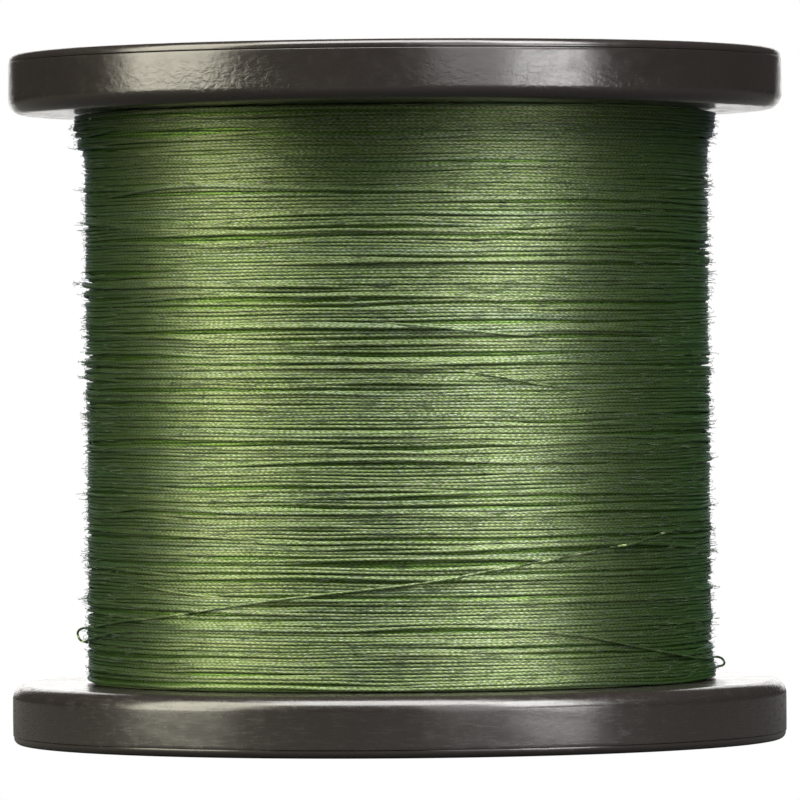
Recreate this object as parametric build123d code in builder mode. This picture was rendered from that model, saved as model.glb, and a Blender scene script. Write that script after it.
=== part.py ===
from build123d import *
from math import cos, pi, radians, sin
import os

# Bulk spool of braided fishing line, millimetres.
# The spool's axis is Z. The origin is the centre of the lower end face, on the surface it stands on.

# ---- Driving dimensions -------------------------------------------------------------------------

INCH = 25.4
flange_d = 4.5 * INCH  # both flanges
spool_width = 4.0 * INCH  # over the two end faces
barrel_d = 2.25 * INCH  # outside of the tube under the line
spindle_bore_d = 16.0  # runs on a 5/8 in spindle
rim_height = 8.8  # end face to the line side of a flange
winding_d = 92.4  # over the wound line, at mid width
line_d = 0.48  # braid as wound
packing = 0.75  # share of the winding's volume that is line

# ---- Fits ---------------------------------------------------------------------------------------

slip = 0.075  # radial clearance of the barrel in its sockets
seat = 0.05  # axial clearance between seated mouldings
lay_gap = 0.02  # clearance of things laid on the winding

# ---- End plate ----------------------------------------------------------------------------------

flange_r = flange_d / 2
plate_t = 1.2
plate_r = flange_r - 0.15  # the plate stands in from the rim's face
plate_edge_r = 0.95  # rounded outer edge
seam_gap = 0.12  # fine open seam between plate and rim
seam_edge_r = 0.12
label_inner_r = 24.0
label_outer_r = 49.0
label_recess = 0.25
label_t = 0.15
label_margin = 0.25
drive_hole_d = 6.4
drive_hole_pcd = 36.0
drive_hole_count = 3
spigot_t = 1.45  # ring that locates the plate inside the rim
spigot_h = 2.0

# ---- Flange -------------------------------------------------------------------------------------

rim_wall = 3.2
rim_inner_r = flange_r - rim_wall
rim_edge_r = 2.2  # rounded edge on the line side
rim_seat_z = plate_t + seat
rim_ledge = 1.0  # outer part of the rim's end, set back to leave the seam
web_t = 2.6
web_z = rim_height - web_t
boss_r = 11.0  # round the spindle bore
bore_chamfer = 0.6
drive_boss_wall = 1.5
socket_depth = 1.6  # groove in the web that takes the barrel's end
hook_pad_t = 1.2  # the web is thicker where the barrel's hooks hold on to it
hook_pad_w = 2.8
rib_count = 12
rib_t = 1.5
rib_bite = 0.2  # how far a rib runs into the rim's wall
rib_gap = 0.1  # over the plate's locating ring
rib_z = plate_t + spigot_h + rib_gap

# ---- Barrel and its snap hooks ------------------------------------------------------------------

barrel_wall = 2.2
barrel_r = barrel_d / 2
barrel_inner_r = barrel_r - barrel_wall
barrel_end_z = rim_height - socket_depth + seat
hook_count = 6
hook_w = 7.0
hook_root = 1.0  # margin of a finger's sketch beyond the tube's wall
hook_reach = 1.1  # past the pad
hook_pad_z = web_z - hook_pad_t
hook_tip_z = hook_pad_z - hook_reach
barb = 1.15  # how far a hook's barb reaches outwards
barb_edge = 0.3  # height of the barb's outer edge, below its sloping lead-in
flex_room = 1.4  # how far a hook bends inwards as it snaps home
window_play = 0.6
window_w = hook_w + window_play
window_inner_r = barrel_inner_r - flex_room
socket_r = barrel_r + slip
socket_inner_r = barrel_inner_r - slip

# ---- Line and tapes -----------------------------------------------------------------------------

winding_r = winding_d / 2
arbor_room = 0.275  # between the barrel and the first turns, for the arbor tape
winding_inner_r = barrel_r + arbor_room
winding_gap = 0.1  # to the flange's line side
top_bulge = 1.5  # the last turns climb where they meet the upper flange
top_bulge_h = 3.0
top_blend_h = 8.0
base_bulge = 0.5
base_bulge_h = 2.5
base_blend_h = 7.0
winding_edge_r = 0.4
crest_r = 2.0  # blends at the top and the foot of each bulge's slope
slope_r = 4.0
arbor_tape_t = 0.2
arbor_tape_w = 24.0
tail_z = 36.0
tail_start = 84.0  # degrees from +X about the axis
tail_sweep = 42.0
tape_start = 100.0
tape_sweep = 22.0
tape_w = 12.0
tape_t = 0.12

mid_plane = Plane.XY.offset(spool_width / 2)
line_z0 = rim_height + winding_gap
line_z1 = spool_width - line_z0


def radial_plane(angle):
    """The upright plane through the axis at an angle: local x runs outwards, local y runs up."""
    c = cos(radians(angle))
    s = sin(radians(angle))
    return Plane(origin=(0, 0, 0), x_dir=(c, s, 0), z_dir=(s, -c, 0))


# ---- Lower flange: rim, web, spindle boss, ribs and the barrel's socket --------------------------

with BuildPart() as lower_flange:
    with BuildSketch(Plane.XZ) as rim_profile:
        with BuildLine():
            Polyline(
                (rim_inner_r, rim_seat_z),
                (flange_r - rim_ledge, rim_seat_z),
                (flange_r - rim_ledge, plate_t + seam_gap),
                (flange_r, plate_t + seam_gap),
                (flange_r, rim_height),
                (0, rim_height),
                (0, web_z),
                (rim_inner_r, web_z),
                close=True,
            )
        make_face()
        fillet(rim_profile.vertices().group_by(Axis.X)[-1].sort_by(Axis.Y)[0], radius=seam_edge_r)
        fillet(rim_profile.vertices().group_by(Axis.X)[-1].sort_by(Axis.Y)[-1], radius=rim_edge_r)
    revolve(axis=Axis.Z)
    # ribs between the web and the end plate, from the spindle boss to the rim
    with BuildSketch(Plane.XY.offset(rib_z)):
        with PolarLocations(0, rib_count, start_angle=180 / rib_count):
            Rectangle(rim_inner_r + rib_bite, rib_t, align=(Align.MIN, Align.CENTER))
    extrude(amount=web_z - rib_z)
    # spindle boss, flush with the end plate's face
    with BuildSketch(Plane.XY):
        Circle(boss_r)
    extrude(amount=rim_height)
    # a boss behind each drive hole
    with BuildSketch(Plane.XY.offset(rim_seat_z)):
        with PolarLocations(drive_hole_pcd / 2, drive_hole_count):
            Circle(drive_hole_d / 2 + drive_boss_wall)
    extrude(amount=rim_height - rim_seat_z)
    # thicker ring of web under the barrel's socket
    with BuildSketch(Plane.XY.offset(hook_pad_z)):
        Circle(socket_r + hook_pad_w)
        Circle(socket_inner_r - hook_pad_w, mode=Mode.SUBTRACT)
    extrude(amount=hook_pad_t)
    # socket groove, and a window through its floor for each hook
    with BuildSketch(Plane.XY.offset(rim_height)):
        Circle(socket_r)
        Circle(socket_inner_r, mode=Mode.SUBTRACT)
    extrude(amount=-socket_depth, mode=Mode.SUBTRACT)
    with BuildSketch(Plane.XY.offset(rim_height)):
        with PolarLocations(window_inner_r, hook_count):
            Rectangle(socket_r - window_inner_r, window_w, align=(Align.MIN, Align.CENTER))
    extrude(amount=hook_pad_z - rim_height, mode=Mode.SUBTRACT)
    # spindle bore and drive holes
    with BuildSketch(Plane.XY):
        Circle(spindle_bore_d / 2)
        with PolarLocations(drive_hole_pcd / 2, drive_hole_count):
            Circle(drive_hole_d / 2)
    extrude(amount=rim_height, mode=Mode.SUBTRACT)
    bore_rims = lower_flange.edges().filter_by(GeomType.CIRCLE).filter_by(
        lambda e: abs(e.radius - spindle_bore_d / 2) < 0.01
    )
    chamfer(bore_rims, length=bore_chamfer)
lower_flange.part.label = "lower_flange"
export_step(lower_flange.part, "parts/lower_flange.step")

# ---- Lower end plate: closes the hollow flange, and carries the label in a shallow recess --------

with BuildPart() as lower_end_plate:
    with BuildSketch(Plane.XY):
        Circle(plate_r)
    extrude(amount=plate_t)
    plate_rims = lower_end_plate.edges().filter_by(GeomType.CIRCLE).sort_by(Axis.Z)
    fillet(plate_rims[0], radius=plate_edge_r)
    fillet(plate_rims[-1], radius=seam_edge_r)
    # locating ring inside the rim
    with BuildSketch(Plane.XY.offset(plate_t)):
        Circle(rim_inner_r - 2 * seat)
        Circle(rim_inner_r - 2 * seat - spigot_t, mode=Mode.SUBTRACT)
    extrude(amount=spigot_h)
    # label recess
    with BuildSketch(Plane.XY):
        Circle(label_outer_r)
        Circle(label_inner_r, mode=Mode.SUBTRACT)
    extrude(amount=label_recess, mode=Mode.SUBTRACT)
    # clear of the boss, and the drive holes
    with BuildSketch(Plane.XY):
        Circle(boss_r + seat)
        with PolarLocations(drive_hole_pcd / 2, drive_hole_count):
            Circle(drive_hole_d / 2)
    extrude(amount=plate_t, mode=Mode.SUBTRACT)
lower_end_plate.part.label = "lower_end_plate"
export_step(lower_end_plate.part, "parts/lower_end_plate.step")

# ---- Lower label: a plain ring stuck to the floor of the recess ----------------------------------

with BuildPart() as lower_label:
    with BuildSketch(Plane.XY.offset(label_recess - label_t)):
        Circle(label_outer_r - label_margin)
        Circle(label_inner_r + label_margin, mode=Mode.SUBTRACT)
    extrude(amount=label_t)
lower_label.part.label = "lower_label"
export_step(lower_label.part, "parts/lower_label.step")

# ---- Upper flange, plate and label: the same pieces facing the other way -------------------------

with BuildPart() as upper_flange:
    mirror(lower_flange.part, about=mid_plane)
upper_flange.part.label = "upper_flange"
export_step(upper_flange.part, "parts/upper_flange.step")

with BuildPart() as upper_end_plate:
    mirror(lower_end_plate.part, about=mid_plane)
upper_end_plate.part.label = "upper_end_plate"
export_step(upper_end_plate.part, "parts/upper_end_plate.step")

with BuildPart() as upper_label:
    mirror(lower_label.part, about=mid_plane)
upper_label.part.label = "upper_label"
export_step(upper_label.part, "parts/upper_label.step")

# ---- Barrel: a tube with snap hooks at both ends -------------------------------------------------

with BuildPart() as barrel:
    with BuildSketch(Plane.XY.offset(barrel_end_z)):
        Circle(barrel_r)
        Circle(barrel_inner_r, mode=Mode.SUBTRACT)
    extrude(amount=spool_width / 2 - barrel_end_z)
    # hooks: fingers of the tube's wall that reach through the flange's web
    with BuildSketch(Plane.XY.offset(hook_tip_z)):
        with PolarLocations(barrel_inner_r - hook_root, hook_count):
            Rectangle(barrel_wall + 2 * hook_root, hook_w, align=(Align.MIN, Align.CENTER))
        Circle(barrel_r, mode=Mode.INTERSECT)
        Circle(barrel_inner_r, mode=Mode.SUBTRACT)
    extrude(amount=barrel_end_z - hook_tip_z)
    # barbs: each catches on the far side of the web and has a sloping lead-in
    for k in range(hook_count):
        with BuildSketch(radial_plane(k * 360 / hook_count)):
            with BuildLine():
                Polyline(
                    (barrel_r - barrel_wall / 2, hook_tip_z),
                    (barrel_r, hook_tip_z),
                    (barrel_r + barb, hook_pad_z - seat - barb_edge),
                    (barrel_r + barb, hook_pad_z - seat),
                    (barrel_r - barrel_wall / 2, hook_pad_z - seat),
                    close=True,
                )
            make_face()
        extrude(amount=hook_w / 2, both=True)
    mirror(about=mid_plane)
barrel.part.label = "barrel"
export_step(barrel.part, "parts/barrel.step")

# ---- Arbor tape: keeps the first turns of slippery braid from turning on the barrel ---------------

with BuildPart() as arbor_tape:
    with BuildSketch(mid_plane.offset(-arbor_tape_w / 2)):
        Circle(barrel_r + lay_gap + arbor_tape_t)
        Circle(barrel_r + lay_gap, mode=Mode.SUBTRACT)
    extrude(amount=arbor_tape_w)
arbor_tape.part.label = "arbor_tape"
export_step(arbor_tape.part, "parts/arbor_tape.step")

# ---- Line winding: the outer shape of all the wound line ------------------------------------------

with BuildPart() as line_winding:
    with BuildSketch(Plane.XZ):
        with BuildLine():
            FilletPolyline(
                (winding_inner_r, line_z0),
                (winding_r + base_bulge, line_z0),
                (winding_r + base_bulge, line_z0 + base_bulge_h),
                (winding_r, line_z0 + base_blend_h),
                (winding_r, line_z1 - top_blend_h),
                (winding_r + top_bulge, line_z1 - top_bulge_h),
                (winding_r + top_bulge, line_z1),
                (winding_inner_r, line_z1),
                radius=(0, winding_edge_r, crest_r, slope_r, slope_r, crest_r, winding_edge_r, 0),
                close=True,
            )
        make_face()
    revolve(axis=Axis.Z)
line_winding.part.label = "line_winding"
export_step(line_winding.part, "parts/line_winding.step")

# ---- Line tail: the free end, which runs round the winding and ends under the tail tape -----------

tail_r = winding_r + lay_gap + line_d / 2

with BuildPart() as line_tail:
    with BuildSketch(radial_plane(tail_start)):
        with Locations((tail_r, tail_z)):
            Circle(line_d / 2)
    revolve(axis=Axis.Z, revolution_arc=tail_sweep)
line_tail.part.label = "line_tail"
export_step(line_tail.part, "parts/line_tail.step")

# ---- Tail tape: a tab stuck over the tail, raised where the tail runs under it ---------------------

with BuildPart() as tail_tape:
    with BuildSketch(radial_plane(tape_start)):
        with Locations((winding_r + lay_gap, tail_z)):
            Rectangle(tape_t, tape_w, align=(Align.MIN, Align.CENTER))
        with Locations((tail_r, tail_z)):
            Circle(line_d / 2 + lay_gap + tape_t)
            Circle(line_d / 2 + lay_gap, mode=Mode.SUBTRACT)
        with Locations((winding_r + lay_gap, tail_z)):
            Rectangle(line_d, tape_w, align=(Align.MAX, Align.CENTER), mode=Mode.SUBTRACT)
    revolve(axis=Axis.Z, revolution_arc=tape_sweep)
tail_tape.part.label = "tail_tape"
export_step(tail_tape.part, "parts/tail_tape.step")

# ---- How much line the winding holds ---------------------------------------------------------------

line_length_m = packing * line_winding.part.volume / (pi * (line_d / 2) ** 2) / 1000
print(f"line on the spool: {line_length_m:.0f} m")
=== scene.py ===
import math

import bpy
import numpy as np
from mathutils import Matrix, Vector


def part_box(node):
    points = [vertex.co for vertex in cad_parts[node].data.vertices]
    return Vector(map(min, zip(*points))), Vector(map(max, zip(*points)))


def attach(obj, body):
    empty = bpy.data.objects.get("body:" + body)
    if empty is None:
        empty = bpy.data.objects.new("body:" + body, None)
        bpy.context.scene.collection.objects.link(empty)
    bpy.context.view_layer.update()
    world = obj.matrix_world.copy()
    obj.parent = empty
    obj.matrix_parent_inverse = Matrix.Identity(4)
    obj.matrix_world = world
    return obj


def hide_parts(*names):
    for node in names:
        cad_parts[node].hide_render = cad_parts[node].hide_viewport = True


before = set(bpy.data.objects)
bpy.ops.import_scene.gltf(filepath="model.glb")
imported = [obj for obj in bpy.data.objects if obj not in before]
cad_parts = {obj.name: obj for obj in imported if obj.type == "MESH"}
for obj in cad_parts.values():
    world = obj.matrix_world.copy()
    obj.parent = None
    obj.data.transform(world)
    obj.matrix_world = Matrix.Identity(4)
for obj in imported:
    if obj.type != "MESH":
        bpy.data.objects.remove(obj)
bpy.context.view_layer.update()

# Bulk spool of braided fishing line. Lengths are in millimetres up to mesh(), which writes metres.
# Angles are measured about the spool's axis from +X; the camera looks from FRONT.

MM = 0.001
FRONT = -90.0
SEED = 41
PICK = 0.88  # length of the braid's pattern


def span(node):
    """Lowest and highest z of a CAD node, in millimetres."""
    low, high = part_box(node)
    return low.z / MM, high.z / MM


FLANGE_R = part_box("lower_flange")[1].x / MM
WIDTH = span("upper_end_plate")[1]
LINE_Z0, LINE_Z1 = span("line_winding")
RIM_LOW = span("lower_flange")[1]
RIM_HIGH = span("upper_flange")[0]
TAIL_Z = sum(span("line_tail")) / 2
WINDING_R = 46.0  # for lengths along the wound line's surface
TAPE_R = 46.3

# ---- Meshes -------------------------------------------------------------------------------------


def mesh(name, verts, quads, caps=(), uv=None, material=None, slot=None, replaces=()):
    """A smooth mesh piece from arrays: verts in millimetres, quads, and closing polygons."""
    data = bpy.data.meshes.new(name)
    verts = np.asarray(verts, np.float32) * MM
    corners = [np.asarray(quads, np.int32).ravel()] + [np.asarray(c, np.int32) for c in caps]
    sizes = np.concatenate([np.full(len(quads), 4, np.int32), [len(c) for c in caps]]).astype(np.int32)
    loops = np.concatenate(corners)
    data.vertices.add(len(verts))
    data.vertices.foreach_set("co", verts.ravel())
    data.loops.add(len(loops))
    data.loops.foreach_set("vertex_index", loops)
    data.polygons.add(len(sizes))
    data.polygons.foreach_set("loop_start", np.concatenate([[0], np.cumsum(sizes)[:-1]]).astype(np.int32))
    data.polygons.foreach_set("use_smooth", np.ones(len(sizes), bool))
    if uv is not None:
        layer = data.uv_layers.new(name="line")
        layer.data.foreach_set("uv", np.asarray(uv, np.float32).ravel())
    data.update(calc_edges=True)
    data.validate()
    piece = bpy.data.objects.new(name, data)
    bpy.context.scene.collection.objects.link(piece)
    piece.data.materials.append(material)
    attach(piece, "root")
    if replaces:
        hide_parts(*replaces)
    return piece


def tube(points, half_high, half_wide, sides, start=0.0):
    """Arrays of a closed tube along points that run round the axis: verts, quads, caps and uv.

    half_high is its radius away from the axis and half_wide along the surface. uv is metres along the
    line and the turn round it.
    """
    p = np.asarray(points, float)
    n = len(p)
    along = np.gradient(p, axis=0)
    along /= np.linalg.norm(along, axis=1, keepdims=True)
    out = p * [1, 1, 0]
    out -= along * np.sum(out * along, axis=1, keepdims=True)
    out /= np.linalg.norm(out, axis=1, keepdims=True)
    side = np.cross(along, out)
    turn = np.linspace(0, 2 * np.pi, sides, endpoint=False)
    high = np.broadcast_to(half_high, n)[:, None, None] * np.cos(turn)[None, :, None]
    wide = np.broadcast_to(half_wide, n)[:, None, None] * np.sin(turn)[None, :, None]
    verts = (p[:, None] + high * out[:, None] + wide * side[:, None]).reshape(-1, 3)
    i = np.arange(n - 1)[:, None] * sides
    k = np.arange(sides)[None, :]
    k1 = (k + 1) % sides
    quads = np.stack([i + k, i + k1, i + sides + k1, i + sides + k], -1).reshape(-1, 4)
    caps = [np.arange(sides)[::-1], np.arange(sides) + (n - 1) * sides]
    step = np.linalg.norm(np.diff(p, axis=0), axis=1)
    s = (start + np.concatenate([[0], np.cumsum(step)])) * MM
    s0 = np.repeat(s[:-1], sides)
    s1 = np.repeat(s[1:], sides)
    v0 = np.tile(np.arange(sides) / sides, n - 1)
    v1 = v0 + 1 / sides
    uv = np.stack([s0, v0, s0, v1, s1, v1, s1, v0], -1).reshape(-1, 2)
    ends = [np.stack([np.full(sides, s[e]), np.arange(sides) / sides], -1) for e in (0, -1)]
    return verts, quads, caps, np.concatenate([uv] + ends), s[-1] / MM


def tubes(name, parts, **options):
    """One piece made of several closed tubes."""
    verts, quads, caps, uvs, cap_uvs = [], [], [], [], []
    base = 0
    for v, q, c, uv, _ in parts:
        verts.append(v)
        quads.append(q + base)
        caps += [cap + base for cap in c]
        uvs.append(uv[: 4 * len(q)])
        cap_uvs.append(uv[4 * len(q):])
        base += len(v)
    uv = np.concatenate(uvs + cap_uvs)
    return mesh(name, np.concatenate(verts), np.concatenate(quads), caps, uv, **options)


def round_axis(angle, radius, z):
    """Points from angles in degrees, radii and heights."""
    a = np.radians(angle)
    return np.stack([radius * np.cos(a), radius * np.sin(a), np.broadcast_to(z, np.shape(a))], -1)


def smooth_noise(rng, count, spacing):
    """A random curve of count samples, about one unit high, that changes over spacing samples."""
    knots = rng.standard_normal(int(count / spacing) + 5)
    x = np.arange(count) / spacing + 1
    i = x.astype(int)
    f = x - i
    a, b, c, d = (knots[i + o] for o in (-1, 0, 1, 2))
    return b + 0.5 * f * (c - a + f * (2 * a - 5 * b + 4 * c - d + f * (3 * (b - c) + d - a)))


# ---- Materials ----------------------------------------------------------------------------------


class Shader:
    """A material's node tree, built by short calls that return sockets."""

    def __init__(self, name):
        self.material = bpy.data.materials.new(name)
        self.material.use_nodes = True
        self.tree = self.material.node_tree
        self.surface = self.tree.nodes["Principled BSDF"]

    def node(self, kind, inputs=(), output=0, **settings):
        made = self.tree.nodes.new(kind)
        for key, value in settings.items():
            setattr(made, key, value)
        for key, value in dict(inputs).items():
            self.put(made.inputs[key], value)
        return made.outputs[output]

    def put(self, socket, value):
        if isinstance(value, bpy.types.NodeSocket):
            self.tree.links.new(value, socket)
        else:
            socket.default_value = value

    def set(self, **inputs):
        for key, value in inputs.items():
            self.put(self.surface.inputs[key.replace("_", " ")], value)

    def math(self, operation, a, b=0.0, c=0.0, clamp=False):
        return self.node("ShaderNodeMath", {0: a, 1: b, 2: c}, operation=operation, use_clamp=clamp)

    def range(self, value, low, high, to_low=0.0, to_high=1.0, smooth=True):
        kind = "SMOOTHSTEP" if smooth else "LINEAR"
        return self.node("ShaderNodeMapRange", {"Value": value, "From Min": low, "From Max": high,
                                                "To Min": to_low, "To Max": to_high}, interpolation_type=kind)

    def mix(self, factor, a, b):
        made = self.tree.nodes.new("ShaderNodeMix")
        made.data_type = "RGBA"
        self.put(made.inputs[0], factor)
        self.put(made.inputs[6], a)
        self.put(made.inputs[7], b)
        return made.outputs[2]

    def place(self, scale=(1, 1, 1)):
        """Position in metres, scaled."""
        here = self.node("ShaderNodeTexCoord", output="Object")
        return self.node("ShaderNodeMapping", {"Vector": here, "Scale": scale})

    def noise(self, vector, scale, detail=2.0, roughness=0.5, dims="3D", **inputs):
        values = {"Scale": scale, "Detail": detail, "Roughness": roughness, **inputs}
        values["W" if dims == "1D" else "Vector"] = vector
        return self.node("ShaderNodeTexNoise", values, noise_dimensions=dims)

    def bump(self, height, distance, strength=1.0, under=None):
        values = {"Height": height, "Distance": distance, "Strength": strength}
        if under:
            values["Normal"] = under
        return self.node("ShaderNodeBump", values)


def colour(r, g, b):
    return (r, g, b, 1.0)


def plastic(name, rim_edge, gloss=0.20, edge_z=None, dented=1.0, brushed=0.0):
    """Black moulded plastic, polished round the rim from the radius rim_edge outwards and matt on the
    flat faces. Dents gather within a few millimetres of the edge at edge_z; brushed adds fine scuffs."""
    m = Shader(name)
    here = m.node("ShaderNodeTexCoord", output="Object")
    z = m.node("ShaderNodeSeparateXYZ", {0: here}, output=2)
    x = m.node("ShaderNodeSeparateXYZ", {0: here}, output=0)
    y = m.node("ShaderNodeSeparateXYZ", {0: here}, output=1)
    angle = m.math("ARCTAN2", y, x)
    wall = m.node("ShaderNodeCombineXYZ", {0: m.math("MULTIPLY", angle, FLANGE_R * MM), 1: z, 2: 0.0})
    waves = m.noise(m.place((1, 1, 1)), 70.0, 1.0)
    bumps = m.bump(waves, 0.00008)
    flat_on = m.node("ShaderNodeMapping", {"Vector": wall, "Scale": (1.0, 1.4, 1.0)})
    if edge_z is not None:
        patch = m.range(m.noise(wall, 38.0, 2.0), 0.42, 0.62)
        near = m.range(m.math("ABSOLUTE", m.math("SUBTRACT", z, edge_z * MM)), 0.0078, 0.0032)
        dents = m.range(m.noise(flat_on, 900.0, 4.0, 0.62, Distortion=0.4), 0.36, 0.62)
        worn = m.math("MULTIPLY", m.math("MULTIPLY_ADD", near, 0.8, 0.2),
                      m.math("MULTIPLY_ADD", patch, 0.7, 0.3))
        bumps = m.bump(m.math("MULTIPLY", dents, worn), 0.000021 * dented, under=bumps)
    round_rim = m.node("ShaderNodeMapping", {"Vector": wall, "Scale": (0.12, 1.0, 1.0)})
    scuffs = m.noise(round_rim, 2600.0, 3.0, 0.6)
    haze = m.noise(m.place((1, 1, 1)), 500.0, 4.0, 0.7)
    rough = m.math("MULTIPLY_ADD", m.range(haze, 0.4, 0.8), 0.10, gloss)
    rough = m.math("MULTIPLY_ADD", m.range(scuffs, 0.45, 0.75), 0.25 * brushed, rough)
    radius = m.math("SQRT", m.math("ADD", m.math("MULTIPLY", x, x), m.math("MULTIPLY", y, y)))
    matt = m.range(radius, rim_edge * MM, (rim_edge - 0.3) * MM)
    rough = m.math("MULTIPLY_ADD", matt, m.math("SUBTRACT", 0.80, rough), rough)
    moulded = m.math("MULTIPLY", m.noise(m.place((1, 1, 1)), 1800.0, 2.0), matt)
    bumps = m.bump(moulded, 0.00003, under=bumps)
    bumps = m.bump(m.math("MULTIPLY", scuffs, brushed), 0.0000020, under=bumps)
    grain = m.noise(m.place((1, 1, 1)), 2600.0, 2.0)
    bumps = m.bump(grain, 0.0000012, under=bumps)
    tint = m.noise(m.place((1, 1, 1)), 60.0, 3.0)
    m.set(Base_Color=m.mix(tint, colour(0.0075, 0.0060, 0.0055), colour(0.0095, 0.0080, 0.0072)),
          Roughness=rough, Normal=bumps)
    return m.material


def braid(name, tint=(1.0, 1.0, 1.0)):
    """Four-strand braided line, moss green, with pale glints painted into its colour as highlights, dark
    green painted shade between the carriers, and a green sheen.
    """
    m = Shader(name)

    def tinted(*rgb):
        return colour(*(a * b for a, b in zip(rgb, tint)))

    uv = m.node("ShaderNodeUVMap", uv_map="line")
    along = m.node("ShaderNodeSeparateXYZ", {0: uv}, output=0)
    around = m.node("ShaderNodeSeparateXYZ", {0: uv}, output=1)
    twist = m.noise(along, 35.0, 1.0, dims="1D")
    around = m.math("ADD", around, m.math("MULTIPLY_ADD", along, 17.0, twist))
    pick = m.math("DIVIDE", along, PICK * MM)
    left = m.math("MULTIPLY_ADD", around, 2.0, pick)
    right = m.math("MULTIPLY_ADD", around, -2.0, pick)

    def ridge(phase):
        across = m.math("MULTIPLY_ADD", m.math("FRACT", phase), 2.0, -1.0)
        return m.math("SUBTRACT", 1.0, m.math("MULTIPLY", across, across))

    def carrier(across, length):
        return m.math("MULTIPLY", ridge(across), m.math("MULTIPLY_ADD", ridge(length), 0.5, 0.5))

    cell = m.math("ADD", m.math("FLOOR", left), m.math("FLOOR", right))
    over = m.math("FLOORED_MODULO", cell, 2.0)
    weave = m.node("ShaderNodeMix", {"Factor": over, "A": carrier(left, right), "B": carrier(right, left)})
    fibre = m.node("ShaderNodeCombineXYZ", {0: m.math("MULTIPLY", along, 1700.0),
                                            1: m.math("MULTIPLY", around, 9.0), 2: 0.0})
    # painted highlight: fibre-scale noise that whitens the colour and lifts the crest mask
    painted_glint = m.math("SUBTRACT", m.noise(fibre, 1.0, 3.0, 0.7, dims="2D"), 0.5)
    # crest mask: where it is low the colour is dark green painted shade between the carriers, where the glint
    # noise lifts it the colour is a painted highlight
    painted_crest_and_valley = m.math("MULTIPLY_ADD", painted_glint, 2.6, m.range(weave, 0.05, 0.85, smooth=False), clamp=True)
    dye = m.range(m.noise(along, 14.0, 3.0, 0.7, dims="1D"), 0.3, 0.7, smooth=False)
    base = m.mix(dye, tinted(0.144, 0.173, 0.084), tinted(0.174, 0.183, 0.102))
    grey = m.noise(m.math("ADD", along, 31.0), 14.0, 2.0, 0.5, dims="1D")
    base = m.mix(m.range(grey, 0.5, 0.75), base, tinted(0.160, 0.182, 0.128))
    # painted highlight: the colour turns pale where the glint noise is high
    base = m.mix(m.range(painted_glint, 0.02, 0.24), base, tinted(0.250, 0.250, 0.265))
    # the dark saturated green in the weave's valleys is painted shade between the carriers
    m.set(Base_Color=m.mix(painted_crest_and_valley, tinted(0.029, 0.072, 0.003), base), Metallic=0.97,
          Specular_Tint=colour(0.44, 0.44, 0.70), Roughness=0.57, Anisotropic=0.86, Anisotropic_Rotation=0.25,
          Sheen_Weight=0.045, Sheen_Roughness=0.75, Sheen_Tint=colour(0.15, 0.62, 0.06),
          Normal=m.bump(weave, 0.000026, 1.0),
          Tangent=m.node("ShaderNodeTangent", direction_type="UV_MAP", uv_map="line"))
    return m.material


def loose_fibre():
    """Single fibres worn out of the braid."""
    m = Shader("loose_fibre")
    shade = m.noise(m.place((1, 1, 1)), 300.0, 1.0)
    tone = m.mix(m.range(shade, 0.4, 0.7), colour(0.010, 0.022, 0.008), colour(0.035, 0.055, 0.022))
    m.set(Base_Color=tone, Roughness=0.6)
    return m.material


def core_line():
    """Deeper layers, seen only through the gaps."""
    m = Shader("deep_line")
    z = m.node("ShaderNodeSeparateXYZ", {0: m.node("ShaderNodeTexCoord", output="Object")}, output=2)
    turns = m.math("SINE", m.math("MULTIPLY", z, 2 * math.pi / (0.52 * MM)))
    # painted shade: the colour is darker along the grooves between the turns and lighter on their ridges,
    # following the same sine as the bump
    m.set(Base_Color=m.mix(m.range(turns, -1.0, 1.0), colour(0.04, 0.07, 0.018), colour(0.10, 0.15, 0.05)),
          Roughness=0.6, Normal=m.bump(turns, 0.0001, 0.6))
    return m.material


def paper_label():
    """Plain ring label: dark green with thin pale rings and a band of ticks."""
    m = Shader("ring_label")
    here = m.node("ShaderNodeTexCoord", output="Object")
    x = m.node("ShaderNodeSeparateXYZ", {0: here}, output=0)
    y = m.node("ShaderNodeSeparateXYZ", {0: here}, output=1)
    radius = m.math("SQRT", m.math("ADD", m.math("MULTIPLY", x, x), m.math("MULTIPLY", y, y)))
    angle = m.math("ARCTAN2", y, x)

    def band(low, high):
        soft = 0.00008
        rise = m.range(radius, low * MM - soft, low * MM + soft)
        fall = m.range(radius, high * MM + soft, high * MM - soft)
        return m.math("MULTIPLY", rise, fall)

    fibre = m.noise(m.place((1, 1, 1)), 1500.0, 4.0, 0.65)
    stock = m.mix(fibre, colour(0.30, 0.29, 0.25), colour(0.36, 0.35, 0.31))
    ink = m.mix(fibre, colour(0.020, 0.050, 0.026), colour(0.028, 0.066, 0.034))
    olive = m.mix(fibre, colour(0.060, 0.085, 0.026), colour(0.075, 0.105, 0.034))
    tone = m.mix(band(27.0, 46.4), stock, ink)
    tone = m.mix(band(30.2, 36.8), tone, olive)
    tone = m.mix(band(37.6, 37.9), tone, stock)
    tone = m.mix(band(29.1, 29.4), tone, stock)
    ticks = m.math("ABSOLUTE", m.math("SINE", m.math("MULTIPLY", angle, 60.0)))
    ticks = m.math("MULTIPLY", m.range(ticks, 0.22, 0.12), band(41.2, 44.0))
    tone = m.mix(ticks, tone, stock)
    m.set(Base_Color=tone, Roughness=0.95, Specular_IOR_Level=0.2, Normal=m.bump(fibre, 0.000015))
    return m.material


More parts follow.
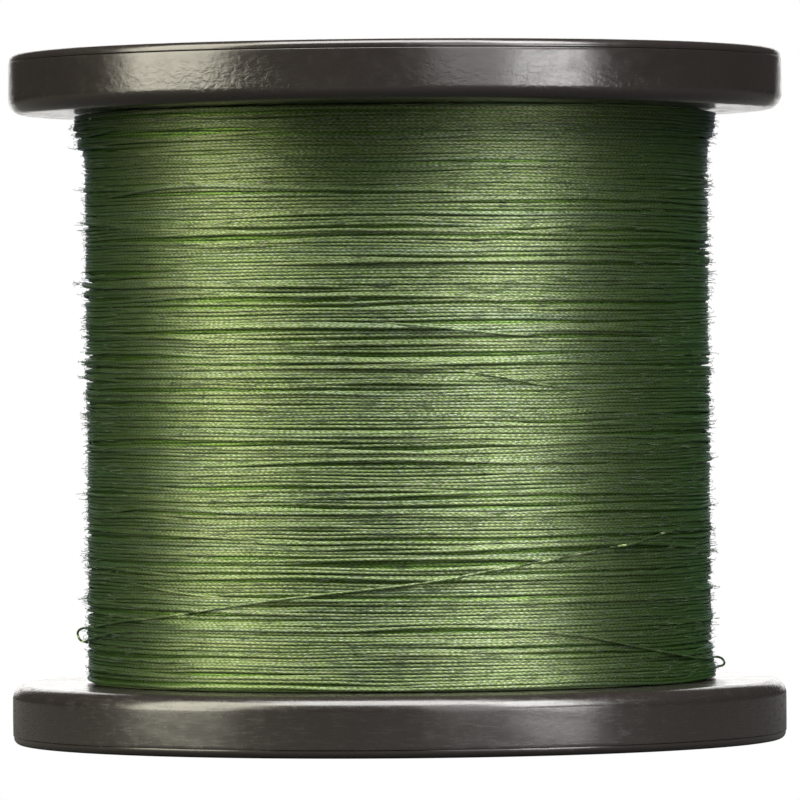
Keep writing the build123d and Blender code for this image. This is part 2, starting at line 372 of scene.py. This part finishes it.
def crepe_tape():
    """Cream crepe paper tape: fine wrinkles across its length with painted shade in their hollows, a little
    see-through where it is wet out.
    """
    m = Shader("crepe_tape")
    here = m.node("ShaderNodeTexCoord", output="Object")
    z = m.node("ShaderNodeSeparateXYZ", {0: here}, output=2)
    x = m.node("ShaderNodeSeparateXYZ", {0: here}, output=0)
    y = m.node("ShaderNodeSeparateXYZ", {0: here}, output=1)
    length = m.math("MULTIPLY", m.math("ARCTAN2", y, x), TAPE_R * MM)
    flat = m.node("ShaderNodeCombineXYZ", {0: length, 1: z, 2: 0.0})
    stretched = m.node("ShaderNodeMapping", {"Vector": flat, "Scale": (4.5, 1.0, 1.0)})
    creases_and_painted_shade = m.noise(stretched, 420.0, 4.0, 0.6)
    blotch = m.noise(flat, 260.0, 3.0)
    # painted shade: the cream darkens in the wrinkles' hollows and is lighter on their crests
    tone = m.mix(creases_and_painted_shade, colour(0.56, 0.47, 0.30), colour(0.76, 0.68, 0.49))
    tone = m.mix(m.range(blotch, 0.45, 0.75, 0.0, 0.35), tone, colour(0.44, 0.40, 0.24))
    m.set(Base_Color=tone, Roughness=0.7, Normal=m.bump(creases_and_painted_shade, 0.00009, 0.9))
    return m.material


# ---- The wound line -----------------------------------------------------------------------------


class Winding:
    """Line laid turn by turn on a drum. At each of a ring of angles it keeps the height of what is
    already there, so a turn rests on its neighbours, falls in the gaps and climbs where it is crowded."""

    columns = 180
    cell = 0.03

    def __init__(self, half_high, half_wide, rng):
        self.half_high = half_high
        self.half_wide = half_wide
        self.rng = rng
        self.angles = np.arange(self.columns) * 360 / self.columns + FRONT + 180
        self.z = np.arange(LINE_Z0, LINE_Z1, self.cell)
        reach = int(0.9 * half_wide / self.cell)
        self.window = np.arange(-reach, reach + 1)
        self.profile = half_high * np.sqrt(1 - (self.window * self.cell / half_wide) ** 2)
        self.height = np.empty((self.columns, len(self.z)))

    def column(self, angle):
        return np.round((angle - self.angles[0]) * self.columns / 360).astype(int) % self.columns

    def cells(self, angle, z):
        i = np.round((z - self.z[0]) / self.cell).astype(int)[:, None] + self.window
        return self.column(angle)[:, None], np.clip(i, 0, len(self.z) - 1)

    def rest(self, angle, z):
        """Radius at which a strand's centre rests on what is there."""
        return (self.height[self.cells(angle, z)] + self.profile).max(1)

    def add(self, angle, z, radius):
        where = self.cells(angle, z)
        np.maximum.at(self.height, where, radius[:, None] + self.profile)

    def taut(self, radius):
        """The line under tension bridges from bump to bump."""
        slope = 0.085 * 2 * np.pi / self.columns * radius.mean() * 0.5
        out = radius.copy()
        for k in range(1, 5):
            for shift in (-k, k):
                out = np.maximum(out, np.roll(radius, shift) - slope * k)
        return (np.roll(out, 1) + 2 * out + np.roll(out, -1)) / 4

    def lay(self, start, end, pitch, hops):
        """One layer from start to end, each turn beside the last one. Here and there a turn leaves a
        gap that tapers to nothing, and some turns hop over their neighbours for part of the way round.
        Returns angle, radius and z along the line."""
        turns = int(abs(end - start) / pitch)
        n = self.columns
        count = turns * n
        t = np.arange(count) / n
        even = start + (end - start) * t / turns
        ahead = np.sign(end - start) * 2 * self.half_wide
        gap = 0.28 * np.clip(smooth_noise(self.rng, count, n * 0.042) - 0.8, 0, 1.2)
        gap += 0.15 * smooth_noise(self.rng, count, n * 0.05)
        z = even.copy()
        z[:n] = start + t[:n] * ahead * (1 + gap[n])
        for turn in range(1, turns):
            part = slice(turn * n, (turn + 1) * n)
            beside = z[(turn - 1) * n:turn * n]
            drawn_back = 0.25 * (even[part] - beside - ahead)
            step = np.maximum(1 + gap[part] + drawn_back / ahead, 0.7)
            z[part] = beside + ahead * step
        for at in self.rng.integers(n, count - n, hops):
            reach = int(n * self.rng.uniform(0.06, 0.2))
            bell = np.hanning(2 * reach)
            z[at - reach:at + reach] += bell * self.rng.choice([-1, 1]) * self.rng.uniform(0.15, 0.8)
        z = np.clip(z, LINE_Z0 + self.half_wide, LINE_Z1 - self.half_wide)
        radius = np.empty(count)
        for turn in range(turns):
            part = slice(turn * n, (turn + 1) * n)
            radius[part] = self.taut(self.rest(self.angles, z[part]))
            self.add(self.angles, z[part], radius[part])
        radius = self.settle(radius.reshape(turns, n)).ravel()
        kernel = np.array([1, 3, 4, 3, 1]) / 12
        radius = np.convolve(np.pad(radius, 2, "edge"), kernel, "valid")
        return self.angles[0] + t * 360, radius, z

    def settle(self, radius):
        """Tension beds a layer in: it sinks a little and its bumps flatten."""
        reach = 6
        padded = np.pad(radius, ((reach, reach), (0, 0)), "edge")
        level = sum(padded[k:k + len(radius)] for k in range(2 * reach + 1)) / (2 * reach + 1)
        return level + 0.5 * (radius - level) - 0.06


DRUM_R = 45.25


def drum(winding):
    """Height of the layers below: flat, and flared where it meets the flanges, more on one side."""
    a = np.radians(winding.angles)[:, None]
    z = winding.z[None, :]
    lopsided = 1 + 0.14 * np.cos(a - np.radians(180))
    top = np.clip((z - (LINE_Z1 - 6.0)) / 4.2, 0, 1)
    base = np.clip((LINE_Z0 + 4.5 - z) / 3.5, 0, 1)
    tilt = 0.5 - 0.5 * np.cos(a - np.radians(180))
    flare = 1.45 * lopsided * top ** 2 * (3 - 2 * top) + 0.75 * tilt * base ** 2 * (3 - 2 * base)
    winding.height[:] = DRUM_R - 0.12 * np.cos(a - np.radians(180)) + flare


def pieces_of(path, parts, sides, winding, name, material):
    """The layer as tubes, cut into parts pieces."""
    angle, radius, z = path
    points = round_axis(angle, radius, z)
    cuts = np.linspace(0, len(points) - 1, parts + 1).astype(int)
    start = 0.0
    for k in range(parts):
        part = points[cuts[k]:cuts[k + 1] + 1]
        made = tube(part, winding.half_high, winding.half_wide, sides, start)
        start = made[4]
        tubes(f"{name}_{k + 1}", [made], material=material, slot="line_braid", replaces=["line_winding"])


rng = np.random.default_rng(SEED)
winding = Winding(0.19, 0.225, rng)
drum(winding)
under_layer = winding.lay(LINE_Z0 + 0.3, LINE_Z1 - 0.3, 0.49, 10)
top_layer = winding.lay(LINE_Z1 - 0.3, LINE_Z0 + 0.3, 0.46, 200)


def hook(angle, z_from, z_to, reach, lean):
    """Knots of a loop that stands off the surface where a strand turns back."""
    turn = np.linspace(0, np.pi, 9)
    middle, half = (z_from + z_to) / 2, (z_from - z_to) / 2
    return [(angle + lean * math.sin(t), middle + half * math.cos(t), 0.1 + reach * math.sin(t))
            for t in turn]


# Strands that stray across the last layer: (degrees from the camera's side, z, lift off the surface).
# A lift below zero is an end that has slipped under its neighbours.
LOOSE = {
    "long_stray": [
        (66, 32.0, -0.5), (57, 31.0, 0), (48.6, 29.9, 0), (29.8, 27.7, 0), (18.1, 26.3, 0), (3.7, 24.4, 0),
        (-13.3, 22.9, 0), (-25.3, 21.8, 0), (-41.0, 20.1, 0), (-50, 19.3, 0), (-60.4, 18.6, 0),
        (-74, 17.6, 0), (-82, 17.2, 0.03), *hook(-88, 17.0, 14.9, 1.0, -3.0),
        (-80, 15.4, 0.03), (-72, 16.2, 0), (-62, 17.0, 0), (-52, 17.3, -0.5),
    ],
    "right_stray": [
        (18, 17.5, -0.5), (29.7, 16.9, 0), (36.6, 16.2, 0), (51, 14.2, 0), (64.8, 12.7, 0), (76, 12.1, 0.03),
        (82, 12.1, 0.05), *hook(87, 12.0, 10.6, 1.1, 3.0), (80, 10.6, 0), (74, 10.6, -0.5),
    ],
    "left_cross": [(-64, 24.6, -0.5), (-53, 23.8, 0), (-40.7, 22.8, 0), (-28, 22.1, -0.5)],
    "upper_cross": [(-4, 61.7, -0.5), (7.6, 60.8, 0), (18.5, 59.9, 0), (30, 59.3, -0.5)],
    "middle_cross": [(8, 54.9, -0.5), (16.6, 54.0, 0), (26.1, 52.6, 0), (37, 51.7, -0.5)],
}


STRAY_SPACING = 0.25


def curve_through(knots, spacing):
    """A smooth path through knots, with a point about every spacing millimetres."""
    k = np.asarray(knots, float)
    k = np.concatenate([[2 * k[0] - k[1]], k, [2 * k[-1] - k[-2]]])
    out = []
    for i in range(1, len(k) - 2):
        reach = np.hypot(np.radians(k[i + 1][0] - k[i][0]) * WINDING_R, k[i + 1][1] - k[i][1])
        f = np.linspace(0, 1, max(2, int(reach / spacing)), endpoint=False)[:, None]
        a, b, c, d = k[i - 1:i + 3]
        out.append(b + 0.5 * f * (c - a + f * (2 * a - 5 * b + 4 * c - d + f * (3 * (b - c) + d - a))))
    return np.concatenate(out + [k[-2:-1]])


def stray(knots, thick=1.0):
    """A loose strand that lies on the winding along knots: degrees from the camera's side, z, lift."""
    path = curve_through(knots, STRAY_SPACING)
    angle = path[:, 0] + FRONT
    rest = winding.rest(angle, path[:, 1])
    rest = np.maximum(rest, (np.roll(rest, 1) + np.roll(rest, -1)) / 2)
    kernel = np.hanning(9) / np.hanning(9).sum()
    rest = np.convolve(np.pad(rest, 4, "edge"), kernel, "valid")
    radius = rest + path[:, 2] - 0.08
    lies = path[:, 2] < 0.1
    winding.add(angle[lies], path[lies, 1], radius[lies])
    sunk = np.clip(-path[:, 2] / 0.5, 0, 1)
    return tube(round_axis(angle, radius, path[:, 1]), 0.21 * thick * (1 - 0.5 * sunk),
                0.22 * thick * (1 - 0.5 * sunk), 8, start=rng.uniform(0, 30000))


line = braid("braided_line")
# the under layer uses a greener and lighter copy of the braid, tinted to paint the saturated green shade seen
# in the gaps between the top turns
pieces_of(under_layer, 2, 6, winding, "line_under_layer", braid("braided_line_under_shaded_copy", (0.98, 1.32, 0.66)))
pieces_of(top_layer, 3, 8, winding, "line_top_layer", line)
tubes("line_loose_strands", [stray(knots, thick=0.8) for knots in LOOSE.values()], material=line,
      slot="line_braid", replaces=["line_winding"])

CORE_R = 44.95


def line_core():
    """The drum under the modelled layers."""
    z = np.linspace(LINE_Z0, LINE_Z1, 120)
    n = len(z)
    grid = round_axis(winding.angles[:, None] + 0 * z, CORE_R, z[None, :])
    verts = grid.reshape(-1, 3)
    i = np.arange(winding.columns)[:, None]
    j = np.arange(n - 1)[None, :]
    i1 = (i + 1) % winding.columns
    quads = np.stack([i * n + j, i1 * n + j, i1 * n + j + 1, i * n + j + 1], -1).reshape(-1, 4)
    low = (np.arange(winding.columns) * n)[::-1]
    high = np.arange(winding.columns) * n + n - 1
    mesh("line_core", verts, quads, [low, high], material=core_line(), slot="line_braid",
         replaces=["line_winding"])


line_core()


def wisps(name, angle, radius, z, length, lift, slant, node, thick=0.06):
    """Fine three-sided fibre ends that stand off the line, one for each entry of the arrays, as part of
    a CAD node. length is signed along the surface."""
    steps, sides = 6, 3
    s = np.linspace(0, 1, steps)[None, :]
    a = angle[:, None] + np.degrees(length[:, None] * s / radius[:, None])
    r = radius[:, None] - 0.04 + lift[:, None] * np.sin(s * 2.3) * s ** 0.5
    spine = round_axis(a, r, z[:, None] + slant[:, None] * s ** 2)
    out = round_axis(a, 1.0, 0.0)
    up = np.array([0.0, 0.0, 1.0])
    turn = np.linspace(0, 2 * np.pi, sides, endpoint=False)
    girth = (thick * (1 - 0.5 * s))[..., None, None]
    around = np.cos(turn)[:, None] * out[:, :, None] + np.sin(turn)[:, None] * up
    verts = (spine[:, :, None] + girth * around).reshape(-1, 3)
    first = np.arange(len(angle))[:, None, None] * steps * sides
    i = np.arange(steps - 1)[None, :, None] * sides + first
    k = np.arange(sides)[None, None, :]
    k1 = (k + 1) % sides
    quads = np.stack([i + k, i + k1, i + sides + k1, i + sides + k], -1).reshape(-1, 4)
    ends = np.concatenate([first[:, 0] + np.arange(sides)[::-1],
                           first[:, 0] + (steps - 1) * sides + np.arange(sides)])
    uv = np.full((4 * len(quads) + ends.size, 2), 0.5)
    uv[:, 0] = np.arange(len(uv)) * 0.00013
    return mesh(name, verts, quads, list(ends), uv, material=fibre, slot="line_braid", replaces=[node])


def fuzz(name, count):
    """Worn fibres standing off the winding all over it."""
    angle = rng.uniform(0, 360, count)
    z = rng.uniform(LINE_Z0 + 1, LINE_Z1 - 1, count)
    radius = winding.height[winding.column(angle), ((z - LINE_Z0) / winding.cell).astype(int)]
    length = rng.choice([-1, 1], count) * rng.uniform(0.8, 3.0, count)
    tuft = 0.5 + 0.5 * np.sin(0.94 * z + 1.3 * np.sin(0.31 * z) + np.radians(2 * angle))
    lift = 0.12 + (0.4 + 1.0 * tuft) * rng.uniform(size=count) ** 2
    wisps(name, angle, radius, z, length, lift, rng.uniform(-0.4, 0.4, count), "line_winding", thick=0.045)


FUZZ_PIECES = 3
FUZZ_EACH = 5500
fibre = loose_fibre()
for k in range(FUZZ_PIECES):
    fuzz(f"line_fuzz_{k + 1}", FUZZ_EACH)

# ---- The free end and its tape ------------------------------------------------------------------

TAIL_A = math.degrees(math.atan2(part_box("tail_tape")[0].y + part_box("tail_tape")[1].y,
                                 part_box("tail_tape")[0].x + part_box("tail_tape")[1].x))
TAPE_A = TAIL_A - FRONT  # degrees from the camera's side to the middle of the tape
TAPE_HALF = 11.0
TAPE_Z = (TAIL_Z - 6.0, TAIL_Z + 6.0)
TAPE_T = 0.12


def tail():
    """The tail comes out between two turns, runs under the tape and ends just past it, a little frayed."""
    end = TAPE_A + TAPE_HALF + 3.5
    path = [(TAPE_A - 34, TAIL_Z + 0.3, -0.5), (TAPE_A - 27, TAIL_Z + 0.15, 0), (TAPE_A - 11, TAIL_Z, 0),
            (TAPE_A, TAIL_Z, 0), (TAPE_A + 10, TAIL_Z, 0), (end, TAIL_Z + 0.1, 0.06)]
    tubes("line_tail_braid", [stray(path)], material=line, slot="line_braid", replaces=["line_tail"])
    count = 16
    radius = winding.rest(np.full(count, end + FRONT), np.full(count, TAIL_Z)) + rng.uniform(-0.1, 0.1, count)
    wisps("line_tail_fray", np.full(count, end + FRONT), radius, TAIL_Z + rng.uniform(-0.05, 0.25, count),
          rng.uniform(0.5, 1.3, count), rng.uniform(0.0, 0.2, count), rng.uniform(-0.3, 0.3, count),
          "line_tail")


tail()


def tape():
    """The tape follows the turns under it, rises over the tail, and has saw-cut ends."""
    rows, columns = 49, 61
    z = np.linspace(*TAPE_Z, rows)
    saw = 0.5 * np.abs((z / 0.75) % 2 - 1)
    f = np.linspace(-1, 1, columns)
    half = TAPE_HALF - np.degrees(saw / WINDING_R)
    angle = TAPE_A + FRONT + f[:, None] * half[None, :]
    under = np.empty(angle.shape)
    spread = np.arange(-12, 13)
    for i in range(columns):
        cell = np.round((z - winding.z[0]) / winding.cell).astype(int)[:, None] + spread
        under[i] = winding.height[winding.column(angle[i])[:, None], cell].max(1)
    bell = np.hanning(9)[1:-1]
    bell = bell / bell.sum()
    for axis in (0, 1):
        pad = [(3, 3) if axis == k else (0, 0) for k in (0, 1)]
        under = np.apply_along_axis(lambda v: np.convolve(v, bell, "valid"), axis, np.pad(under, pad, "edge"))
    lift = 0.02 + 0.22 * np.clip(np.abs(f[:, None]) - 0.93, 0, 1) / 0.07 * (0.5 + 0.5 * np.sin(z[None, :]))
    low = round_axis(angle, under + lift, z[None, :] + 0 * angle).reshape(-1, 3)
    high = round_axis(angle, under + lift + TAPE_T, z[None, :] + 0 * angle).reshape(-1, 3)
    i = np.arange(columns - 1)[:, None] * rows
    j = np.arange(rows - 1)[None, :]
    sheet = np.stack([i + j, i + rows + j, i + rows + j + 1, i + j + 1], -1).reshape(-1, 4)
    count = rows * columns
    edge = np.concatenate([np.arange(columns) * rows, (columns - 1) * rows + np.arange(1, rows),
                           np.arange(columns - 2, -1, -1) * rows + rows - 1, np.arange(rows - 2, 0, -1)])
    after = np.roll(edge, -1)
    wall = np.stack([edge, after, after + count, edge + count], -1)
    quads = np.concatenate([sheet[:, ::-1], sheet + count, wall])
    mesh("tail_tape_sheet", np.concatenate([low, high]), quads, material=crepe_tape(), slot="tail_paper",
         replaces=["tail_tape"])


tape()

# ---- Moulded pieces and labels ------------------------------------------------------------------

SEGMENTS = 360  # round the axis
PLATE_T = 1.2
PLATE_R = FLANGE_R - 0.15
PLATE_EDGE = 0.95
SEAM = {"upper": 0.06, "lower": 0.03}
SEAM_EDGE = {"upper": 0.10, "lower": 0.04}
SEAM_DEPTH = 1.0
RIM_INNER = FLANGE_R - 3.2
RIM_EDGE = 2.2
SEAT = 0.05
WEB_Z = RIM_LOW - 2.6
PAD_Z = WEB_Z - 1.2
BOSS_R = 11.0
BORE_R = 8.0
BORE_CHAMFER = 0.6
SOCKET = (26.3, 28.65)
SOCKET_FLOOR = RIM_LOW - 1.6
PAD = (23.5, 31.45)
LABEL_RING = (24.0, 49.0)
LABEL_RECESS = 0.25
SPIGOT = (RIM_INNER - 1.55, RIM_INNER - 0.1)
DRIVE_PCD = 36.0
DRIVE_R = 3.2
HOOK_WINDOW = (24.975, 28.65, 3.8)  # inner and outer radius, half width
RIBS = 12
HOOKS = 6
DRIVE_HOLES = 3


def arc(r, z, radius, start, end, steps=12):
    """Points on a rounded corner of a profile, centred on r, z."""
    turn = np.radians(np.linspace(start, end, steps))
    return [(r + radius * math.cos(a), z + radius * math.sin(a)) for a in turn]


def line_to(a, b, steps):
    """Evenly spaced points from a towards b, without b."""
    return [tuple(p) for p in np.linspace(a, b, steps, endpoint=False)]


def flange_profile(side):
    """Section of the lower flange: rim, web, barrel socket and spindle boss."""
    top = RIM_LOW
    ledge = PLATE_T + SEAM[side]
    edge = SEAM_EDGE[side]
    return [
        (BORE_R, BORE_CHAMFER), (BORE_R, top - BORE_CHAMFER), (BORE_R + BORE_CHAMFER, top), (SOCKET[0], top),
        (SOCKET[0], SOCKET_FLOOR), (SOCKET[1], SOCKET_FLOOR), (SOCKET[1], top),
        *line_to((44.0, top), (FLANGE_R - RIM_EDGE, top), 6),
        *arc(FLANGE_R - RIM_EDGE, top - RIM_EDGE, RIM_EDGE, 90, 0, 20),
        *line_to((FLANGE_R, top - RIM_EDGE - 0.4), (FLANGE_R, ledge + edge), 12),
        *arc(FLANGE_R - edge, ledge + edge, edge, 0, -90, 5),
        (FLANGE_R - SEAM_DEPTH, ledge), (FLANGE_R - SEAM_DEPTH, PLATE_T + SEAT), (RIM_INNER, PLATE_T + SEAT),
        (RIM_INNER, WEB_Z), (PAD[1], WEB_Z), (PAD[1], PAD_Z), (PAD[0], PAD_Z), (PAD[0], WEB_Z),
        (BOSS_R, WEB_Z), (BOSS_R, 0.0), (BORE_R + BORE_CHAMFER, 0.0),
    ]


def plate_profile(side):
    """Section of the lower end plate, with its locating ring and label recess."""
    hub = BOSS_R + SEAT
    edge = SEAM_EDGE[side]
    return [
        (hub, PLATE_T), (hub, 0.0), (LABEL_RING[0], 0.0), (LABEL_RING[0], LABEL_RECESS),
        (LABEL_RING[1], LABEL_RECESS), (LABEL_RING[1], 0.0),
        *arc(PLATE_R - PLATE_EDGE, PLATE_EDGE, PLATE_EDGE, -90, 0, 14),
        *arc(PLATE_R - edge, PLATE_T - edge, edge, 0, 90, 5),
        (SPIGOT[1], PLATE_T), (SPIGOT[1], PLATE_T + 2.0), (SPIGOT[0], PLATE_T + 2.0), (SPIGOT[0], PLATE_T),
    ]


def turned(profile, upper, wobble=0.0):
    """A solid turned about the axis. wobble is how far its outer face wanders inwards."""
    r, z = np.array(profile).T
    turn = np.linspace(0, 2 * np.pi, SEGMENTS, endpoint=False)[:, None]
    face = np.clip((r - (FLANGE_R - 0.9 * RIM_EDGE)) / RIM_EDGE, 0, 1) * (r > FLANGE_R - RIM_EDGE)
    wave = sum(np.sin(k * turn + k * k + 0.35 * k * z / 3) / k ** 0.5 for k in (3, 7, 11, 17, 26))
    crown = ((z - 4.6) / 4.2) ** 2
    r = r - face * wobble * (crown + 0.25 * (wave + 3.0))
    z = WIDTH - z if upper else z
    grid = np.stack([r * np.cos(turn), r * np.sin(turn), np.broadcast_to(z, r.shape)], -1)
    n = len(profile)
    i = np.arange(SEGMENTS)[:, None] * n
    j = np.arange(n)[None, :]
    i1 = np.roll(i, -1, axis=0)
    j1 = (j + 1) % n
    quads = np.stack([i + j, i1 + j, i1 + j1, i + j1], -1).reshape(-1, 4)
    return grid.reshape(-1, 3), quads[:, ::-1] if upper else quads


def block(verts, faces, name="tool"):
    """A plain helper solid for the cuts."""
    data = bpy.data.meshes.new(name)
    data.from_pydata([tuple(v * MM for v in p) for p in verts], [], faces)
    made = bpy.data.objects.new(name, data)
    bpy.context.scene.collection.objects.link(made)
    return made


def post(radius, x, y, z0, z1, sides=48):
    """A helper cylinder along Z."""
    turn = [2 * math.pi * k / sides for k in range(sides)]
    low = [(x + radius * math.cos(a), y + radius * math.sin(a), z0) for a in turn]
    high = [(px, py, z1) for px, py, _ in low]
    around = [(k, (k + 1) % sides, sides + (k + 1) % sides, sides + k) for k in range(sides)]
    return block(low + high, [tuple(range(sides))[::-1], tuple(range(sides, 2 * sides))] + around)


def bar(r0, r1, half, z0, z1, angle):
    """A helper box that runs outwards at an angle, from r0 to r1."""
    c, s = math.cos(math.radians(angle)), math.sin(math.radians(angle))
    flat = [(r0, -half), (r1, -half), (r1, half), (r0, half)]
    verts = [(x * c - y * s, x * s + y * c, z) for z in (z0, z1) for x, y in flat]
    faces = [(3, 2, 1, 0), (4, 5, 6, 7)] + [(k, (k + 1) % 4, 4 + (k + 1) % 4, 4 + k) for k in range(4)]
    return block(verts, faces)


def combine(piece, tools, operation):
    """Joins helper solids to a piece or cuts them out of it, and removes them."""
    for tool in tools:
        cut = piece.modifiers.new("cut", "BOOLEAN")
        cut.operation = operation
        cut.object = tool
        cut.solver = "EXACT"
    done = piece.evaluated_get(bpy.context.evaluated_depsgraph_get())
    data = bpy.data.meshes.new_from_object(done)
    piece.modifiers.clear()
    old = piece.data
    piece.data = data
    bpy.data.meshes.remove(old)
    for tool in tools:
        bpy.data.meshes.remove(tool.data)


def moulding(name, profile, upper, material, slot, add=(), cut=(), wobble=0.0):
    """A turned moulding that stands in for the CAD node of the same name."""
    verts, quads = turned(profile, upper, wobble)
    piece = mesh(name + "_moulding", verts, quads, material=material, slot=slot, replaces=[name])

    def place(tools):
        made = []
        for kind, *values in tools:
            *rest, z0, z1, last = values
            if upper:
                z0, z1 = WIDTH - z1, WIDTH - z0
            made.append(kind(*rest, z0, z1, last))
        return made

    if add:
        combine(piece, place(add), "UNION")
    if cut:
        combine(piece, place(cut), "DIFFERENCE")
    data = piece.data
    data.polygons.foreach_set("use_smooth", np.ones(len(data.polygons), bool))
    data.set_sharp_from_angle(angle=math.radians(28))
    return piece


drive_turns = [2 * math.pi * k / DRIVE_HOLES for k in range(DRIVE_HOLES)]
drive_spots = [(DRIVE_PCD / 2 * math.cos(a), DRIVE_PCD / 2 * math.sin(a)) for a in drive_turns]
ribs = [(bar, BOSS_R - 0.5, RIM_INNER + 0.2, 0.75, PLATE_T + 2.1, WEB_Z + 0.2, 15 + 360 / RIBS * k)
        for k in range(RIBS)]
drive_bosses = [(post, DRIVE_R + 1.5, x, y, PLATE_T + SEAT, RIM_LOW - 0.5, 48) for x, y in drive_spots]
drive_holes = [(post, DRIVE_R, x, y, -1.0, RIM_LOW + 1.0, 48) for x, y in drive_spots]
windows = [(bar, *HOOK_WINDOW, PAD_Z - 1.0, SOCKET_FLOOR + 0.2, 360 / HOOKS * k) for k in range(HOOKS)]

for upper in (False, True):
    side = "upper" if upper else "lower"
    wear = dict(edge_z=RIM_HIGH) if upper else dict(gloss=0.21, edge_z=RIM_LOW, dented=0.12, brushed=0.5)
    rim_plastic = plastic(f"{side}_flange_plastic", BORE_R, **wear)
    moulding(f"{side}_flange", flange_profile(side), upper, rim_plastic,
             "flange_plastic", ribs + drive_bosses, drive_holes + windows, 0.03)
end_plastic = plastic("end_plate_plastic", PLATE_R - 0.8 * PLATE_EDGE)
for upper in (False, True):
    side = "upper" if upper else "lower"
    moulding(f"{side}_end_plate", plate_profile(side), upper, end_plastic, "plate_plastic", cut=drive_holes)


def dress(node, material):
    """Give a CAD node its material."""
    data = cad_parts[node].data
    data.materials.clear()
    data.materials.append(material)


dress("barrel", end_plastic)
label = paper_label()
for node in ("lower_label", "upper_label"):
    dress(node, label)
dress("arbor_tape", crepe_tape())

# ---- Stage, light and camera --------------------------------------------------------------------


def white_for_camera(tree, shader):
    """Mixes shader with plain white that only the camera sees directly."""
    path = tree.nodes.new("ShaderNodeLightPath")
    white = tree.nodes.new("ShaderNodeEmission")
    mix = tree.nodes.new("ShaderNodeMixShader")
    tree.links.new(path.outputs["Is Camera Ray"], mix.inputs[0])
    tree.links.new(shader, mix.inputs[1])
    tree.links.new(white.outputs[0], mix.inputs[2])
    return mix.outputs[0]


def surround():
    """White behind the object, and a dim room for everything else."""
    world = bpy.data.worlds.new("studio")
    bpy.context.scene.world = world
    world.use_nodes = True
    tree = world.node_tree
    out = tree.nodes["World Output"]
    room = tree.nodes["Background"]
    room.inputs[0].default_value = colour(1.0, 0.98, 0.95)
    room.inputs[1].default_value = 0.05
    path = tree.nodes.new("ShaderNodeLightPath")
    white = tree.nodes.new("ShaderNodeBackground")
    white.inputs[0].default_value = colour(1, 1, 1)
    mix = tree.nodes.new("ShaderNodeMixShader")
    tree.links.new(path.outputs["Is Camera Ray"], mix.inputs[0])
    tree.links.new(room.outputs[0], mix.inputs[1])
    tree.links.new(white.outputs[0], mix.inputs[2])
    tree.links.new(mix.outputs[0], out.inputs[0])


def floor():
    """Pale floor under the spool."""
    data = bpy.data.meshes.new("floor")
    half = 6.0
    corners = [(-half, -half, 0), (half, -half, 0), (half, half, 0), (-half, half, 0)]
    data.from_pydata(corners, [], [(0, 1, 2, 3)])
    ground = bpy.data.objects.new("floor", data)
    ground.location.z = -0.00005
    bpy.context.scene.collection.objects.link(ground)
    m = Shader("pale_floor")
    m.set(Base_Color=colour(0.025, 0.025, 0.024), Roughness=0.9)
    shown = white_for_camera(m.tree, m.surface.outputs[0])
    m.tree.links.new(shown, m.tree.nodes["Material Output"].inputs["Surface"])
    data.materials.append(m.material)


def softbox(name, angle, elevation, distance, width, height, radiance, tint):
    """A soft light at an angle from the camera's side, facing the middle of the spool."""
    light = bpy.data.lights.new(name, "AREA")
    light.shape = "RECTANGLE"
    light.size = width
    light.size_y = height
    light.energy = radiance * math.pi * width * height
    light.color = tint
    lamp = bpy.data.objects.new(name, light)
    a = math.radians(angle + FRONT)
    e = math.radians(elevation)
    away = Vector((math.cos(a) * math.cos(e), math.sin(a) * math.cos(e), math.sin(e)))
    lamp.location = Vector((0, 0, WIDTH * MM / 2)) + away * distance
    lamp.rotation_euler = away.to_track_quat("Z", "Y").to_euler()
    lamp.visible_camera = False
    bpy.context.scene.collection.objects.link(lamp)


def camera():
    """Long lens at mid height, tilted and rolled a little."""
    data = bpy.data.cameras.new("camera")
    data.sensor_width = 36.0
    data.lens = 373.5
    data.clip_end = 50.0
    rig = bpy.data.objects.new("camera", data)
    rig.location = (0.0, -1.2269, WIDTH * MM / 2 + 0.0067)
    tilt, pan, roll = math.radians(-0.338), math.radians(-0.019), math.radians(-0.473)
    level = Matrix.Rotation(math.pi / 2 + tilt, 4, "X")
    turn = Matrix.Rotation(pan, 4, "Z") @ level @ Matrix.Rotation(roll, 4, "Z")
    rig.rotation_euler = turn.to_euler()
    bpy.context.scene.collection.objects.link(rig)
    bpy.context.scene.camera = rig


surround()
floor()
WARM = (1.0, 0.955, 0.77)
NEUTRAL = (1.0, 0.985, 0.965)
softbox("left_softbox", -68, 28, 1.5, 0.98, 1.66, 12.6, WARM)
softbox("right_strip", 46.5, 2.5, 1.5, 0.58, 0.30, 16.5, NEUTRAL)
softbox("right_softbox", 47.5, 40.5, 1.5, 0.66, 1.05, 20.2, NEUTRAL)
softbox("right_panel", 24.5, 28, 1.5, 0.75, 1.66, 3.7, NEUTRAL)
softbox("overhead", -12, 66, 1.5, 1.2, 1.0, 16.5, NEUTRAL)
softbox("backdrop", 180, 14, 0.7, 0.5, 0.42, 2.2, NEUTRAL)
camera()
bpy.context.scene.view_settings.view_transform = "Standard"
bpy.context.scene.view_settings.look = "None"
